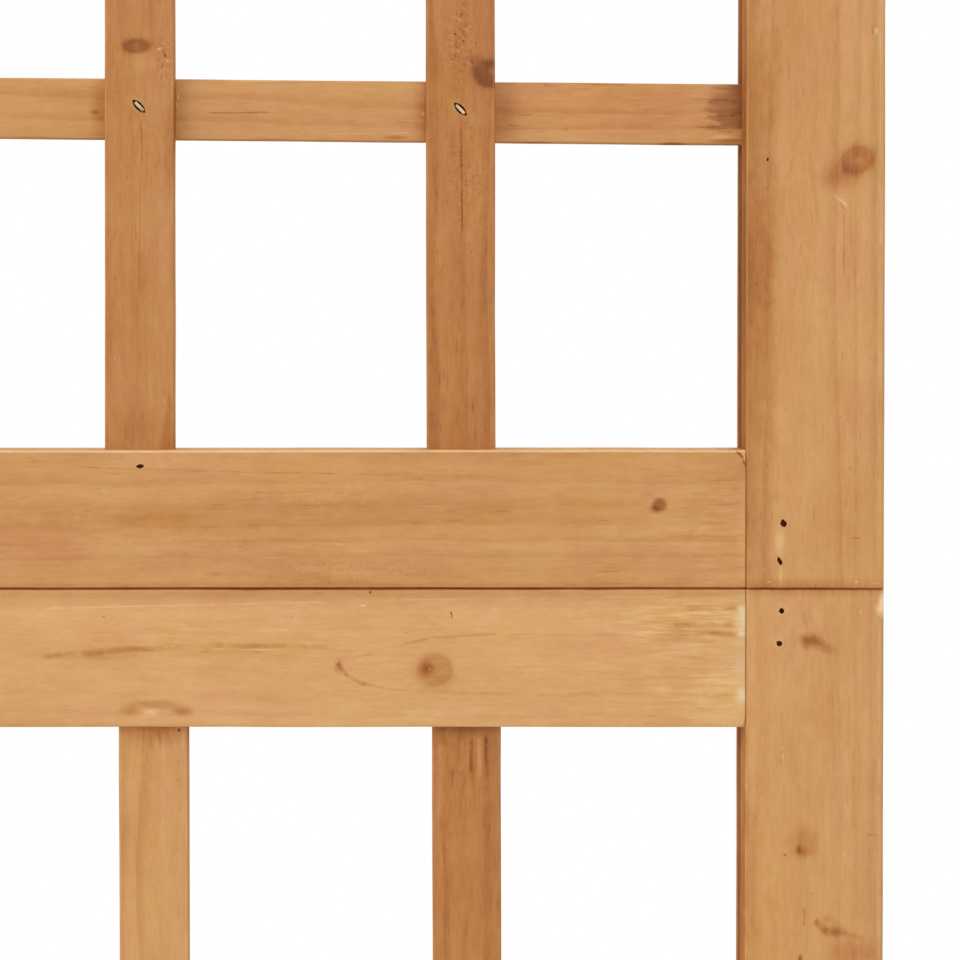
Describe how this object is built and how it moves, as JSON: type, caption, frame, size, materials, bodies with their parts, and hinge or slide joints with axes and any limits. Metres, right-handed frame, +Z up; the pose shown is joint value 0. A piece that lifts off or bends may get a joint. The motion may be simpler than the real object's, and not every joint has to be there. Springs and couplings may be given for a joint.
{
  "type": "folding screen",
  "caption": "Folding room screen of wooden panels hinged in a zigzag, each built as framed square-lattice tiers stacked one above the other.",
  "frame": {"origin": "on the floor, at the middle of the screen's footprint, which is under the middle panel's centre", "axes": "+Z up, +X along the screen from its left panel to its right one, +Y from the front to the back"},
  "size_m": [1.0822, 0.2164, 1.7],
  "materials": {
    "frame": "satin honey stain",
    "lattice": "satin honey stain",
    "dowels": "bare beech",
    "staples": "galvanised",
    "brads": "galvanised",
    "joining_plates": "zinc plated",
    "hinges": "yellow zinc plated",
    "screws": "yellow zinc plated"
  },
  "bodies": {
    "middle_panel": {"middle_upper_left_stile": "frame", "middle_upper_right_stile": "frame", "middle_top_rail": "frame", "middle_upper_middle_rail": "frame", "middle_upper_uprights": "lattice", "middle_upper_cross_slats": "lattice", "middle_lower_left_stile": "frame", "middle_lower_right_stile": "frame", "middle_lower_middle_rail": "frame", "middle_bottom_rail": "frame", "middle_lower_uprights": "lattice", "middle_lower_cross_slats": "lattice", "middle_staples": "staples", "middle_brads": "brads", "middle_joining_plates": "joining_plates", "middle_plate_screws": "screws", "middle_dowels": "dowels", "middle_hinge_screws": "screws", "left_seam_fixed_leaves": "hinges", "left_seam_hinge_pins": "hinges", "right_seam_fixed_leaves": "hinges", "right_seam_hinge_pins": "hinges"},
    "left_panel": {"left_upper_left_stile": "frame", "left_upper_right_stile": "frame", "left_top_rail": "frame", "left_upper_middle_rail": "frame", "left_upper_uprights": "lattice", "left_upper_cross_slats": "lattice", "left_lower_left_stile": "frame", "left_lower_right_stile": "frame", "left_lower_middle_rail": "frame", "left_bottom_rail": "frame", "left_lower_uprights": "lattice", "left_lower_cross_slats": "lattice", "left_staples": "staples", "left_brads": "brads", "left_joining_plates": "joining_plates", "left_plate_screws": "screws", "left_dowels": "dowels", "left_hinge_screws": "screws", "left_seam_moving_leaves": "hinges"},
    "right_panel": {"right_upper_left_stile": "frame", "right_upper_right_stile": "frame", "right_top_rail": "frame", "right_upper_middle_rail": "frame", "right_upper_uprights": "lattice", "right_upper_cross_slats": "lattice", "right_lower_left_stile": "frame", "right_lower_right_stile": "frame", "right_lower_middle_rail": "frame", "right_bottom_rail": "frame", "right_lower_uprights": "lattice", "right_lower_cross_slats": "lattice", "right_staples": "staples", "right_brads": "brads", "right_joining_plates": "joining_plates", "right_plate_screws": "screws", "right_dowels": "dowels", "right_hinge_screws": "screws", "right_seam_moving_leaves": "hinges"}
  },
  "joints": [
    {"name": "left_seam_fold", "type": "hinge", "parent": "middle_panel", "child": "left_panel", "pos_m": [-0.18169, 0.08931, 0.85], "axis": [0, 0, 1], "range_deg": [-60, 120]},
    {"name": "right_seam_fold", "type": "hinge", "parent": "middle_panel", "child": "right_panel", "pos_m": [0.18169, -0.08931, 0.85], "axis": [0, 0, 1], "range_deg": [-60, 120]}
  ]
}
